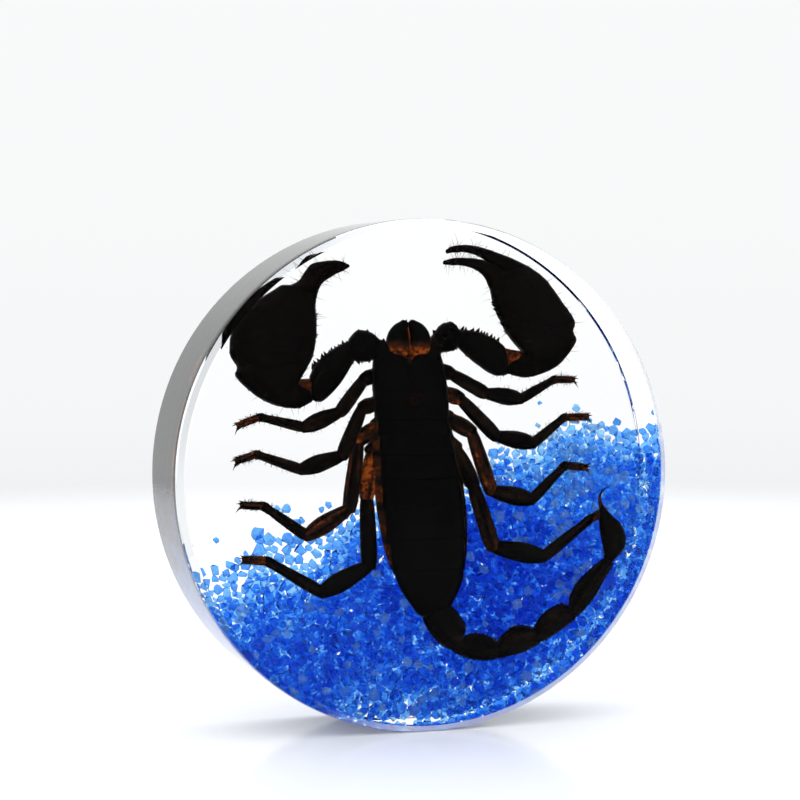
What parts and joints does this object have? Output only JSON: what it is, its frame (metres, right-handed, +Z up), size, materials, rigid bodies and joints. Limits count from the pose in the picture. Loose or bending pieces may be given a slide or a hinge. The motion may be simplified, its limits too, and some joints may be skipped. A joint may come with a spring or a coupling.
{
  "type": "scorpion specimen in clear resin disc",
  "caption": "Round clear resin disc that stands on its rim, with a black scorpion cast in it, claws raised and tail curled, in front of a bed of blue granules; display piece or paperweight",
  "frame": {"origin": "middle of the flat on the rim that the disc stands on, halfway through its thickness", "axes": "+Z up, +Y along the disc's axis from its front face to its back face, +X to the right seen from the front"},
  "size_m": [0.08, 0.019, 0.0797],
  "materials": {
    "resin": "gloss",
    "cuticle": "satin",
    "granules": "gloss"
  },
  "bodies": {
    "root": {"resin_front": "resin", "resin_back": "resin", "scorpion": "cuticle", "blue_granules": "granules"}
  },
  "joints": []
}
